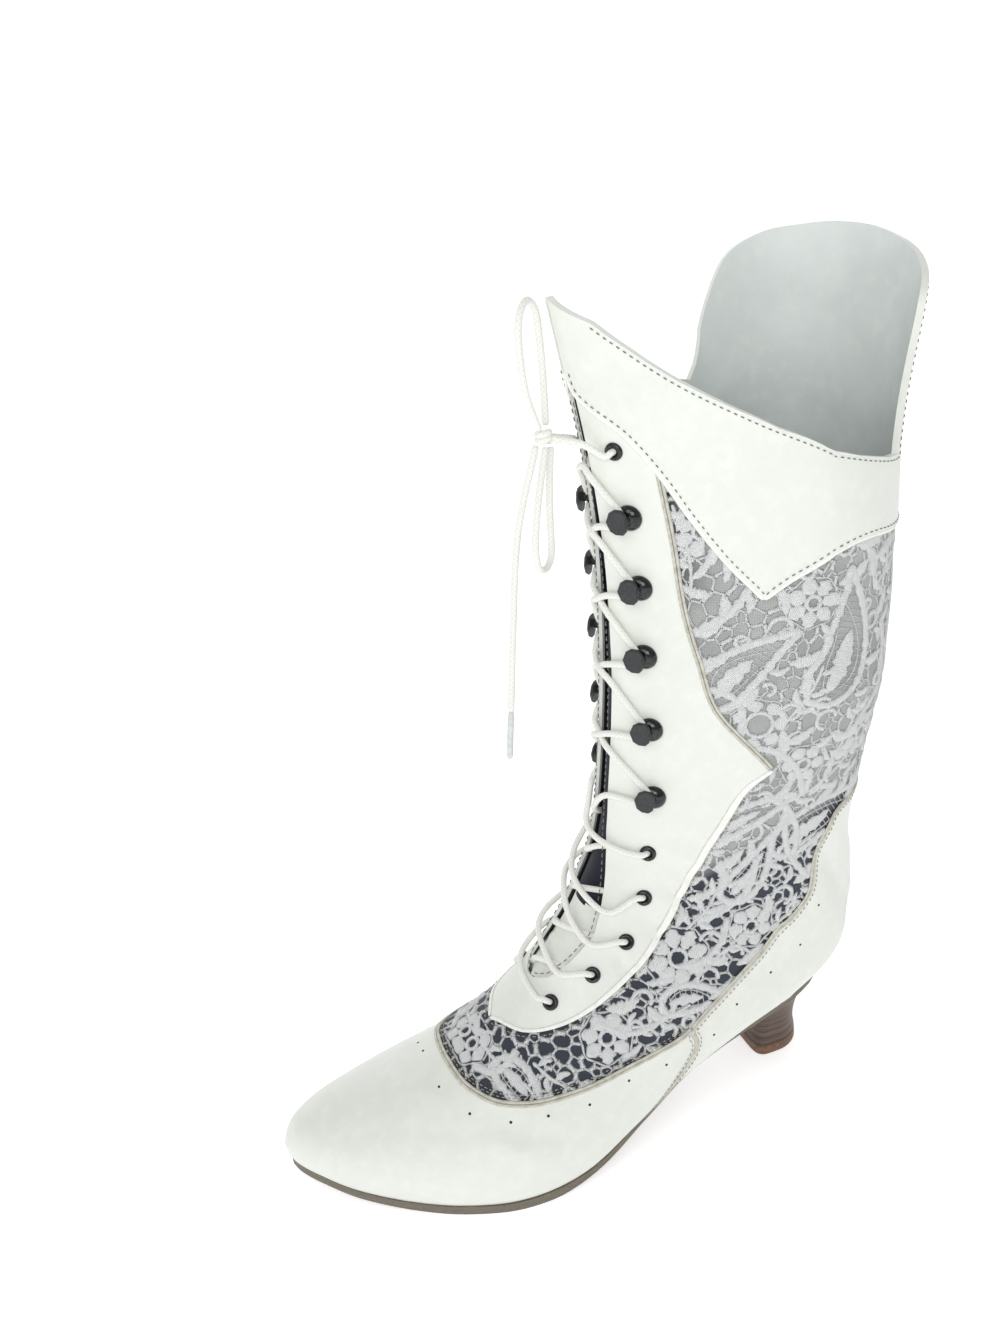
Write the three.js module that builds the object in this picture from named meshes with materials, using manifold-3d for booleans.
import * as THREE from 'three';
import { mergeVertices } from 'three/addons/utils/BufferGeometryUtils.js';
import Module from 'manifold-3d';

const wasm = await Module();
wasm.setup();

// Victorian lace up boot for the left foot, in millimetres.
// The toe points to -X, the outer side of the foot is -Y, +Z is up, and the
// origin is the middle of the heel lift where it meets the ground.

// Driving dimensions
const footLength = 262;
const ballHalf = 42;
const collarHeight = 290;
const heelCentre = 40;
const clothWall = 1.5;
const leatherStep = 0.8;
const collarStep = 1.4;
const seatGap = 0.3;
const liftHeight = 5;
const cordRadius = 1.25;
const eyeletRadius = 3.9;
const hookRadius = 4.5;
const tongueThickness = 2;
const insoleThickness = 2;

// Sections from the toe to the top of the collar. Each one is a closed ring that
// leans from its top or front point to its low or back point.
// topX and lowX are shares of footLength, measured forward from the back of the heel.
// topZ and lowZ are shares of collarHeight, half and side are shares of ballHalf.
// middle is where the ring is widest, front and back are its roundness exponents.
const sections = [
  // topX, topZ, lowX, lowZ, half, side, middle, front, back
  [0.9905, 0.0552, 0.9866, 0.0268, 0.036, -0.476, 0.60, 2.00, 2.00],
  [0.9828, 0.0724, 0.9771, 0.0231, 0.167, -0.452, 0.60, 2.00, 2.60],
  [0.9637, 0.0966, 0.9504, 0.0197, 0.333, -0.393, 0.65, 2.00, 3.60],
  [0.9198, 0.1224, 0.9046, 0.0134, 0.536, -0.295, 0.70, 2.00, 5.00],
  [0.8534, 0.1448, 0.8359, 0.0061, 0.738, -0.181, 0.72, 2.00, 6.00],
  [0.7809, 0.1669, 0.7557, 0.0033, 0.905, -0.060, 0.73, 2.00, 6.50],
  [0.7156, 0.1903, 0.6679, 0.0033, 0.988, 0.048, 0.73, 2.00, 6.50],
  [0.6607, 0.2172, 0.5649, 0.0119, 1.000, 0.083, 0.72, 2.00, 5.00],
  [0.6122, 0.2479, 0.4580, 0.0412, 0.917, 0.083, 0.70, 2.00, 3.60],
  [0.5714, 0.2807, 0.3511, 0.0809, 0.845, 0.083, 0.68, 2.00, 2.90],
  [0.5344, 0.3155, 0.2405, 0.1223, 0.810, 0.071, 0.66, 2.00, 3.40],
  [0.4992, 0.3534, 0.1298, 0.1503, 0.810, 0.036, 0.64, 2.00, 3.30],
  [0.4691, 0.3966, 0.0420, 0.1931, 0.798, 0.000, 0.62, 2.00, 3.00],
  [0.4443, 0.4448, 0.0076, 0.2828, 0.786, 0.000, 0.60, 1.90, 2.40],
  [0.4286, 0.5010, 0.0095, 0.3828, 0.798, 0.000, 0.60, 1.80, 2.10],
  [0.4176, 0.5676, -0.0095, 0.4948, 0.869, 0.000, 0.60, 1.70, 2.10],
  [0.4065, 0.6552, -0.0324, 0.6241, 0.976, 0.000, 0.60, 1.60, 2.20],
  [0.3973, 0.7586, -0.0420, 0.7483, 1.048, 0.000, 0.60, 1.55, 2.20],
  [0.3931, 0.8793, -0.0458, 0.8779, 1.079, 0.000, 0.60, 1.50, 2.20],
  [0.4004, 1.0000, -0.0496, 1.0069, 1.095, 0.000, 0.60, 1.50, 2.20],
  [0.4187, 1.1207, -0.0763, 1.1379, 1.167, 0.000, 0.60, 1.50, 2.20],
  [0.4408, 1.2483, -0.1145, 1.2862, 1.238, 0.000, 0.60, 1.50, 2.20],
];

// Side lines of the sole: along is a share of footLength, the heights of
// collarHeight.
const soleLines = [
  // along, top, bottom
  [-0.02, 0.1790, 0.1660],
  [0.00, 0.1780, 0.1650],
  [0.06, 0.1720, 0.1590],
  [0.13, 0.1620, 0.1500],
  [0.24, 0.1340, 0.1230],
  [0.35, 0.0930, 0.0830],
  [0.458, 0.0540, 0.0440],
  [0.565, 0.0245, 0.0120],
  [0.62, 0.0170, 0.0010],
  [0.66, 0.0152, 0.0000],
  [0.72, 0.0148, 0.0000],
  [0.78, 0.0152, 0.0002],
  [0.84, 0.0185, 0.0040],
  [0.905, 0.0255, 0.0110],
  [0.95, 0.0320, 0.0175],
  [0.99, 0.0370, 0.0220],
  [1.02, 0.0400, 0.0250],
];

// Top edge of the collar: turn is the angle round the ring in radians, zero at
// the front and positive on the outer side, and rise is the share of the way
// from the toe to the last section. The high back turns to the inner side.
const collarEdge = [
  // turn, rise
  [-3.8832, 0.905],
  [-3.83, 0.925],
  [-3.78, 0.945],
  [-3.68, 0.958],
  [-3.41, 0.965],
  [-2.95, 0.971],
  [-2.59, 0.973],
  [-2.29, 0.973],
  [-2.00, 0.972],
  [-1.75, 0.966],
  [-1.62, 0.950],
  [-1.52, 0.925],
  [-1.42, 0.913],
  [-1.196, 0.918],
  [-0.969, 0.931],
  [-0.768, 0.944],
  [-0.559, 0.958],
  [-0.375, 0.969],
  [0.000, 0.980],
  [0.375, 0.970],
  [0.559, 0.959],
  [0.768, 0.944],
  [0.969, 0.931],
  [1.196, 0.918],
  [1.492, 0.9056],
  [1.78, 0.8978],
  [2.10, 0.8915],
  [2.32, 0.8890],
  [2.40, 0.905],
  [2.4532, 0.925],
];

// Lacing slot down the front: rise along the sections and half width
const slotEdge = [
  // rise, half
  [0.4290, 3.0],
  [0.4360, 6.0],
  [0.4460, 9.0],
  [0.4800, 12.0],
  [0.525, 14.0],
  [0.560, 12.6],
  [0.586, 11.0],
  [0.620, 8.2],
  [0.654, 6.2],
  [0.700, 5.2],
  [0.787, 5.2],
  [0.823, 4.4],
  [0.854, 3.6],
  [0.885, 3.0],
  [0.912, 2.6],
  [0.980, 2.2],
  [1.000, 2.2],
];

// Eyelets and hooks of one side, from the bottom to the top
const fastenings = [
  // rise, turn, isHook
  [0.4233, 0.436, 0],
  [0.4822, 0.602, 0],
  [0.5367, 0.681, 0],
  [0.5944, 0.672, 0],
  [0.6467, 0.628, 0],
  [0.7067, 0.610, 1],
  [0.7590, 0.535, 1],
  [0.8060, 0.475, 1],
  [0.8430, 0.450, 1],
  [0.8790, 0.415, 1],
  [0.9122, 0.370, 0],
];

// Side outlines of the leather panels: along is a share of footLength and up a
// share of collarHeight.
const footPanel = [
  [0.727, 0.400], [0.727, 0.186], [0.718, 0.178], [0.688, 0.168], [0.653, 0.164],
  [0.592, 0.163], [0.534, 0.165], [0.478, 0.173], [0.420, 0.182], [0.380, 0.181],
  [0.360, 0.198], [0.319, 0.225], [0.279, 0.248], [0.236, 0.268], [0.200, 0.297],
  [0.169, 0.320], [0.141, 0.348], [0.124, 0.406], [0.091, 0.459], [0.040, 0.479],
  [-0.15, 0.486], [-0.15, -0.05], [1.15, -0.05], [1.15, 0.400],
];
const eyeletPanel = [
  [0.336, 1.010], [0.336, 0.990], [0.324, 0.912], [0.317, 0.824], [0.302, 0.745],
  [0.279, 0.666], [0.210, 0.578], [0.252, 0.544], [0.284, 0.492], [0.334, 0.415],
  [0.373, 0.358], [0.439, 0.300], [0.504, 0.264], [0.561, 0.244], [0.609, 0.233],
  [0.641, 0.2285], [0.660, 0.270], [0.620, 0.420], [0.560, 0.600], [0.560, 1.050],
];
const collarPanel = [
  [0.425, 1.093], [0.400, 1.072], [0.371, 1.042], [0.336, 0.993], [0.302, 0.935],
  [0.267, 0.878], [0.220, 0.824], [0.178, 0.852], [0.122, 0.875], [0.069, 0.880],
  [0.002, 0.872], [-0.20, 0.868], [-0.20, 1.500], [0.700, 1.500], [0.700, 1.200],
];

const smooth = (table, value) => {
  let i = 0;
  while (i < table.length - 2 && value > table[i + 1][0]) {
    i += 1;
  }
  const low = table[i];
  const high = table[i + 1];
  const share = THREE.MathUtils.clamp((value - low[0]) / (high[0] - low[0]), 0, 1);
  return low.map((entry, k) => entry + (high[k] - entry) * share);
};

const sectionAt = (rise) => {
  const last = sections.length - 1;
  const place = THREE.MathUtils.clamp(rise, 0, 1) * last;
  const i = Math.min(Math.floor(place), last - 1);
  const s = place - i;
  const before = sections[Math.max(i - 1, 0)];
  const from = sections[i];
  const to = sections[i + 1];
  const after = sections[Math.min(i + 2, last)];
  return from.map((value, k) => {
    const straight = to[k] - before[k];
    const square = 2 * before[k] - 5 * value + 4 * to[k] - after[k];
    const cube = 3 * value - before[k] - 3 * to[k] + after[k];
    return 0.5 * (2 * value + straight * s + square * s * s + cube * s * s * s);
  });
};

// A point of the boot's form. rise runs from the toe to the top, turn goes round
// the section and offset moves outward from the form.
const formPoint = (rise, turn, offset) => {
  const [topX, topZ, lowX, lowZ, half, side, middle, front, back] = sectionAt(rise);
  const top = new THREE.Vector2(topX * footLength, topZ * collarHeight);
  const low = new THREE.Vector2(lowX * footLength, lowZ * collarHeight);
  const reach = top.distanceTo(low);
  const lean = low.clone().sub(top).divideScalar(reach);
  const c = Math.cos(turn);
  const s = Math.sin(turn);
  const power = 2 / (c >= 0 ? front : back);
  const share = c >= 0 ? middle : 1 - middle;
  const radius = share * reach + offset;
  const along = middle * reach - Math.sign(c) * radius * Math.abs(c) ** power;
  const across = Math.sign(s) * (half * ballHalf + offset) * Math.abs(s) ** power;
  const x = top.x + lean.x * along;
  const z = top.y + lean.y * along;
  return new THREE.Vector3(heelCentre - x, -side * ballHalf - across, z);
};

const formNormal = (rise, turn) => {
  const du = formPoint(rise + 0.004, turn, 0).sub(formPoint(rise - 0.004, turn, 0));
  const dv = formPoint(rise, turn + 0.02, 0).sub(formPoint(rise, turn - 0.02, 0));
  return du.cross(dv).normalize().negate();
};

const collarRise = (turn) => {
  const wrapped = turn > 2.4532 ? turn - 2 * Math.PI : turn;
  return smooth(collarEdge, wrapped)[1];
};

const topLine = (x) => smooth(soleLines, (heelCentre - x) / footLength)[1] * collarHeight;
const lowLine = (x) => smooth(soleLines, (heelCentre - x) / footLength)[2] * collarHeight;

const geometryOf = (points, faces) => {
  const geometry = new THREE.BufferGeometry();
  const flat = points.flatMap((p) => [p.x, p.y, p.z]);
  geometry.setAttribute('position', new THREE.Float32BufferAttribute(flat, 3));
  geometry.setIndex(faces.flat());
  return geometry;
};

const solidOf = (geometry) => {
  const bare = geometry.clone();
  bare.deleteAttribute('normal');
  bare.deleteAttribute('uv');
  const merged = mergeVertices(bare, 1e-4);
  const mesh = new wasm.Mesh({
    numProp: 3,
    vertProperties: new Float32Array(merged.attributes.position.array),
    triVerts: new Uint32Array(merged.index.array),
  });
  return new wasm.Manifold(mesh);
};

const geometryFrom = (solid) => {
  const mesh = solid.getMesh();
  const geometry = new THREE.BufferGeometry();
  geometry.setAttribute('position', new THREE.BufferAttribute(mesh.vertProperties, 3));
  geometry.setIndex(new THREE.BufferAttribute(mesh.triVerts, 1));
  return geometry;
};

// Closes rows of rings into one skin, with a fan at each end.
const ringSkin = (rings, flip) => {
  const count = rings[0].length;
  const points = rings.flat();
  const faces = [];
  rings.slice(1).forEach((ring, k) => {
    for (let i = 0; i < count; i += 1) {
      const a = k * count + i;
      const b = k * count + ((i + 1) % count);
      faces.push([a, b, b + count], [a, b + count, a + count]);
    }
  });
  const middleOf = (ring) => {
    const sum = new THREE.Vector3();
    ring.forEach((p) => sum.add(p));
    return sum.divideScalar(ring.length);
  };
  const first = points.length;
  points.push(middleOf(rings[0]), middleOf(rings[rings.length - 1]));
  const end = (rings.length - 1) * count;
  for (let i = 0; i < count; i += 1) {
    const next = (i + 1) % count;
    faces.push([first, next, i], [first + 1, end + i, end + next]);
  }
  return geometryOf(points, flip ? faces.map(([a, b, c]) => [a, c, b]) : faces);
};

const turnSteps = 26;
const riseSteps = 25;
const splitRise = 0.7;
const turnAt = (i, steps) => -Math.PI + (2 * Math.PI * i) / steps;

// Rings of the form from the toe to the collar's edge.
const formRings = (offset) => {
  const rings = [];
  for (let k = 0; k <= riseSteps; k += 1) {
    const even = k / riseSteps;
    const ring = [];
    for (let i = 0; i < turnSteps; i += 1) {
      const turn = turnAt(i, turnSteps);
      const stretch = (collarRise(turn) - splitRise) / (1 - splitRise);
      const rise = even < splitRise ? even : splitRise + (even - splitRise) * stretch;
      ring.push(formPoint(rise, turn, offset));
    }
    rings.push(ring);
  }
  return rings;
};

// A wall between two offsets of the form, solid at the toe tip and open at the
// collar.
const wallSolid = (outer, inner) => {
  const outside = formRings(outer);
  const inside = formRings(inner).slice(2);
  return solidOf(ringSkin([...outside, ...inside.reverse()], false));
};

const sidePrism = (outline) => {
  const place = ([along, up]) => new THREE.Vector2(
    heelCentre - along * footLength,
    up * collarHeight,
  );
  const depth = ballHalf * 5;
  const geometry = new THREE.ExtrudeGeometry(new THREE.Shape(outline.map(place)), {
    depth,
    bevelEnabled: false,
  });
  geometry.translate(0, 0, -depth / 2);
  geometry.rotateX(Math.PI / 2);
  return solidOf(geometry);
};

// Everything below the sole's top line, from toe to heel.
const underSole = sidePrism([
  ...soleLines.map(([along, top]) => [along === -0.02 ? -0.3 : along, top + 0.001]),
  [1.3, 0.045],
  [1.3, -0.3],
  [-0.3, -0.3],
]);

const slotSolid = (() => {
  const rings = slotEdge.map(([rise, half]) => {
    const [, , , , , side] = sectionAt(rise);
    const front = formPoint(rise, 0, 0);
    const back = formPoint(rise, Math.PI, 0);
    const outward = front.clone().sub(back).setY(0).normalize();
    const centre = -side * ballHalf;
    const corner = (reach, across) => {
      const p = front.clone().addScaledVector(outward, reach);
      p.y = centre + across;
      return p;
    };
    return [corner(-12, -half), corner(-12, half), corner(14, half), corner(14, -half)];
  });
  return solidOf(ringSkin(rings, false));
})();

const alignTo = (geometry, rise, turn, lift) => {
  const normal = formNormal(rise, turn);
  const place = formPoint(rise, turn, leatherStep).addScaledVector(normal, lift);
  const spin = new THREE.Quaternion().setFromUnitVectors(new THREE.Vector3(0, 0, 1), normal);
  geometry.applyQuaternion(spin);
  geometry.translate(place.x, place.y, place.z);
  return geometry;
};

const upright = (geometry) => geometry.rotateX(Math.PI / 2);

const holes = fastenings
  .filter(([, , isHook]) => isHook === 0)
  .flatMap(([rise, turn]) => [turn, -turn].map((signed) => {
    const drill = upright(new THREE.CylinderGeometry(3.2, 3.2, 12, 8));
    return solidOf(alignTo(drill, rise, signed, 0));
  }));

const buildUpper = () => {
  const cloth = wallSolid(0, -clothWall);
  const skin = wallSolid(leatherStep, -clothWall / 2);
  const band = wallSolid(collarStep, -clothWall / 2);
  const foot = skin.intersect(sidePrism(footPanel));
  const stays = skin.intersect(sidePrism(eyeletPanel));
  const collar = band.intersect(sidePrism(collarPanel));
  const whole = cloth.add(foot).add(stays).add(collar);
  const opened = whole.subtract(underSole).subtract(slotSolid);
  return holes.reduce((solid, hole) => solid.subtract(hole), opened);
};

// Halving search for the place where a falling height meets zero.
const crossing = (height, from, to) => {
  let high = from;
  let low = to;
  for (let i = 0; i < 30; i += 1) {
    const mid = (high + low) / 2;
    if (height(mid) > 0) {
      high = mid;
    } else {
      low = mid;
    }
  }
  return high;
};

// Pairs of edge points, outer and inner side, where the form crosses the sole's
// top line, from the toe round to the back of the heel.
const featherPairs = (offset, from) => {
  const above = (rise, turn) => {
    const p = formPoint(rise, turn, offset);
    return p.z - topLine(p.x) - 0.3;
  };
  const pairAt = (rise, turn) => [formPoint(rise, turn, offset), formPoint(rise, -turn, offset)];
  const pairs = [];
  const sideSteps = 26;
  const backSteps = 9;
  const lastTurn = 2.6;
  const heelRise = crossing((rise) => -above(rise, lastTurn), 0.45, 0.62);
  for (let k = 0; k < sideSteps; k += 1) {
    const rise = from + (heelRise - from) * (k / sideSteps);
    pairs.push(pairAt(rise, crossing((turn) => above(rise, turn), Math.PI / 2, Math.PI)));
  }
  for (let k = 0; k < backSteps; k += 1) {
    const turn = lastTurn + (Math.PI - 0.06 - lastTurn) * (k / (backSteps - 1));
    pairs.push(pairAt(crossing((rise) => -above(rise, turn), 0.45, 0.66), turn));
  }
  return pairs;
};

// A plate that follows the sole's side lines between an upper and a lower height.
const plateOf = (pairs, upperZ, lowerZ) => {
  const rings = pairs.map(([outerSide, innerSide]) => {
    const over = [outerSide, innerSide].map((p) => new THREE.Vector3(p.x, p.y, upperZ(p.x)));
    const under = [innerSide, outerSide].map((p) => new THREE.Vector3(p.x, p.y, lowerZ(p.x)));
    return [...over, ...under];
  });
  return ringSkin(rings, true);
};

const solePairs = featherPairs(leatherStep + 0.9, 0.004);

const buildOutsole = () => plateOf(
  solePairs,
  (x) => topLine(x) - seatGap / 2,
  (x) => lowLine(x),
);

// The insole fills the inside of the wall from side to side.
const buildInsole = () => {
  const plate = plateOf(
    solePairs,
    (x) => topLine(x) + seatGap / 2 + insoleThickness,
    (x) => topLine(x) + seatGap / 2,
  );
  const hollow = ringSkin(formRings(-clothWall - 0.5).slice(3), false);
  return geometryFrom(solidOf(plate).intersect(solidOf(hollow)));
};

// Heel levels from the seat to the lift: front and back are measured from the
// back of the heel as shares of footLength.
const heelLevels = [
  // height, front, back, half
  [1.00, 0.236, 0.060, 0.620],
  [0.80, 0.222, 0.074, 0.500],
  [0.60, 0.204, 0.087, 0.375],
  [0.42, 0.190, 0.096, 0.310],
  [0.27, 0.188, 0.100, 0.305],
  [0.14, 0.193, 0.098, 0.330],
];

const heelRing = ([height, front, back, half], heightOf) => {
  const ring = [];
  const steps = 20;
  const flatX = front * footLength;
  const backX = back * footLength;
  const middleX = backX + half * ballHalf;
  for (let i = 0; i < steps; i += 1) {
    const angle = (2 * Math.PI * i) / steps;
    const c = Math.cos(angle);
    const s = Math.sin(angle);
    const power = c > 0 ? 0.42 : 1;
    const reach = c > 0 ? flatX - middleX : middleX - backX;
    const x = middleX + Math.sign(c) * reach * Math.abs(c) ** power;
    const y = Math.sign(s) * half * ballHalf * Math.abs(s) ** power;
    const place = heelCentre - x;
    ring.push(new THREE.Vector3(place, -y, heightOf(height, place)));
  }
  return ring;
};

const buildHeel = () => {
  const heightOf = (share, x) => {
    const seat = lowLine(x) - seatGap * 1.6;
    const floor = liftHeight + seatGap;
    const flat = lowLine(0) - seatGap;
    return share === 1 ? seat : floor + ((share - 0.14) / 0.86) * (flat - floor);
  };
  return ringSkin(heelLevels.map((level) => heelRing(level, heightOf)), true);
};

const buildLift = () => {
  const foot = heelLevels[heelLevels.length - 1];
  return ringSkin([heelRing(foot, () => liftHeight), heelRing(foot, () => 0)], true);
};

const buildTongue = () => {
  const rings = [];
  const steps = 18;
  const across = 6;
  for (let k = 0; k <= steps; k += 1) {
    const rise = 0.345 + (0.955 - 0.345) * (k / steps);
    const spread = Math.min(0.86, 0.55 + k * 0.05) - Math.max(0, k - 13) * 0.09;
    const ring = [];
    for (let i = 0; i <= across; i += 1) {
      const turn = -spread + (2 * spread * i) / across;
      ring.push(formPoint(rise, turn, -clothWall - 1.2));
    }
    for (let i = across; i >= 0; i -= 1) {
      const turn = -spread + (2 * spread * i) / across;
      ring.push(formPoint(rise, turn, -clothWall - 1.2 - tongueThickness));
    }
    rings.push(ring);
  }
  return ringSkin(rings, false);
};

const lathe = (profile, steps) => upright(
  new THREE.LatheGeometry(profile.map(([r, h]) => new THREE.Vector2(r, h)), steps),
);

const buildEyelet = () => lathe([
  [1.9, -2.8], [2.5, -2.8], [2.5, 0.0], [eyeletRadius, 0.0], [1.9, 0.9], [1.9, -2.8],
], 8);

const buildHook = () => lathe([
  [0, 0], [hookRadius, 0], [1.7, 1.1], [1.7, 4.3], [hookRadius, 4.5],
  [hookRadius - 0.3, 5.8], [0, 6.4],
], 8);

const cordAlong = (points, steps, sides) => {
  const shape = new THREE.Shape();
  shape.absarc(0, 0, cordRadius, 0, 2 * Math.PI, false);
  return new THREE.ExtrudeGeometry(shape, {
    steps,
    curveSegments: sides,
    bevelEnabled: false,
    extrudePath: new THREE.CatmullRomCurve3(points, false, 'centripetal'),
  });
};

// Where the cord meets each fastening and where it bends over the slot's edge.
const tieHeight = (isHook) => (isHook ? 2.75 : 1.9);
const tiePoint = ([rise, turn, isHook], sign) => {
  const side = sectionAt(rise)[4] * ballHalf;
  const away = isHook ? 3.5 : eyeletRadius + 1.9;
  const inner = turn - (away / side) * 1.5;
  const point = formPoint(rise, sign * inner, leatherStep);
  return point.addScaledVector(formNormal(rise, sign * inner), tieHeight(isHook));
};

const edgePoint = (rise, sign, height) => {
  const half = smooth(slotEdge, rise)[1] - 1.5;
  const [, , , , wide, , , front] = sectionAt(rise);
  const turn = Math.asin((half / (wide * ballHalf)) ** (front / 2));
  const point = formPoint(rise, sign * turn, leatherStep);
  return point.addScaledVector(formNormal(rise, sign * turn), height);
};

// The bow in front of the collar: steps from the knot's middle, forward, to the
// outer side and up.
const knotPlace = [0.462, -0.07, 1.044];
const knotRadius = 3.55;
const bowPath = (steps) => steps.map(([forward, outward, up]) => new THREE.Vector3(
  heelCentre - knotPlace[0] * footLength - forward,
  knotPlace[1] * ballHalf - outward,
  knotPlace[2] * collarHeight + up,
));

// Each half of the lace zigzags up from side to side and ends at the knot.
const buildCrossings = () => {
  const zigzag = (start) => {
    const path = [edgePoint(fastenings[0][0], 0, 2.8), tiePoint(fastenings[0], start)];
    fastenings.slice(1).forEach((row, k) => {
      const sign = k % 2 === 0 ? start : -start;
      const from = fastenings[k][0];
      const gap = row[0] - from;
      path.push(edgePoint(from + gap * 0.3, sign, 2.6));
      path.push(edgePoint(from + gap * 0.7, -sign, 2.6));
      path.push(tiePoint(row, -sign));
    });
    const last = fastenings.length % 2 === 0 ? start : -start;
    path.push(...bowPath([[-12, last * -4.5, -4], [-3.6, last * -1.8, -1.1]]));
    return solidOf(cordAlong(path, 42, 4));
  };
  return geometryFrom(zigzag(1).add(zigzag(-1)));
};

const leather = new THREE.MeshStandardMaterial({ color: '#e2e3dc', roughness: 0.42 });
const tongueLeather = new THREE.MeshStandardMaterial({ color: '#e6e7e2', roughness: 0.5 });
const lining = new THREE.MeshStandardMaterial({ color: '#d8d9d2', roughness: 0.8 });
const soleEdge = new THREE.MeshStandardMaterial({ color: '#6e675c', roughness: 0.6 });
const stackedLeather = new THREE.MeshStandardMaterial({ color: '#5a4a3e', roughness: 0.55 });
const liftRubber = new THREE.MeshStandardMaterial({ color: '#6b503d', roughness: 0.6 });
const blackNickel = new THREE.MeshStandardMaterial({
  color: '#3a3c3f',
  roughness: 0.3,
  metalness: 0.9,
});
const ivoryCord = new THREE.MeshStandardMaterial({ color: '#e4e3da', roughness: 0.8 });

const clearTip = new THREE.MeshStandardMaterial({ color: '#dfe4e2', roughness: 0.25 });

const boot = new THREE.Group();
const addPiece = (name, geometry, material) => {
  const mesh = new THREE.Mesh(geometry, material);
  mesh.name = name;
  boot.add(mesh);
  return mesh;
};

addPiece('upper', geometryFrom(buildUpper()), leather);
addPiece('tongue', buildTongue(), tongueLeather);
addPiece('insole', buildInsole(), lining);
addPiece('outsole', buildOutsole(), soleEdge);
addPiece('heel', buildHeel(), stackedLeather);
addPiece('heel_lift', buildLift(), liftRubber);

fastenings.forEach(([rise, turn, isHook], row) => {
  [['outer', 1], ['inner', -1]].forEach(([side, sign]) => {
    const kind = isHook ? 'hook' : 'eyelet';
    const geometry = isHook ? buildHook() : buildEyelet();
    const seated = alignTo(geometry, rise, sign * turn, 0.3);
    addPiece(`${kind}_${side}_${row + 1}`, seated, blackNickel);
  });
});

addPiece('lace_crossings', buildCrossings(), ivoryCord);

const highLoopPath = bowPath([
  [2.1, 1.7, 3.15], [7.4, 5.0, 20.0], [7.4, 5.2, 38.0], [1.8, 1.6, 47.5],
  [-2.6, -3.2, 36.0], [-2.8, -3.6, 20.0], [-1.6, -1.5, 3.5],
]);
const lowLoopPath = bowPath([
  [1.0, 3.2, -2.45], [6.6, 7.4, -22.0], [7.8, 7.0, -40.0], [6.0, 4.2, -47.0],
  [3.8, 1.8, -38.0], [1.0, 1.2, -20.0], [-1.9, 0.6, -3.65],
]);
const longEndPath = bowPath([
  [2.6, -1.6, -2.85], [12.0, -3.4, -34.0], [18.4, -2.0, -70.0], [23.0, -1.0, -101.0],
]);
const tipPath = bowPath([[23.05, -1.0, -101.4], [25.8, -0.6, -120.0]]);
const knot = new THREE.SphereGeometry(knotRadius, 10, 8);
knot.translate(...bowPath([[0, 0, 0]])[0].toArray());
addPiece('lace_knot', knot, ivoryCord);
addPiece('lace_loop_high', cordAlong(highLoopPath, 14, 4), ivoryCord);
addPiece('lace_loop_low', cordAlong(lowLoopPath, 14, 4), ivoryCord);
addPiece('lace_end', cordAlong(longEndPath, 12, 4), ivoryCord);
addPiece('lace_tip', cordAlong(tipPath, 2, 4), clearTip);

export default boot;
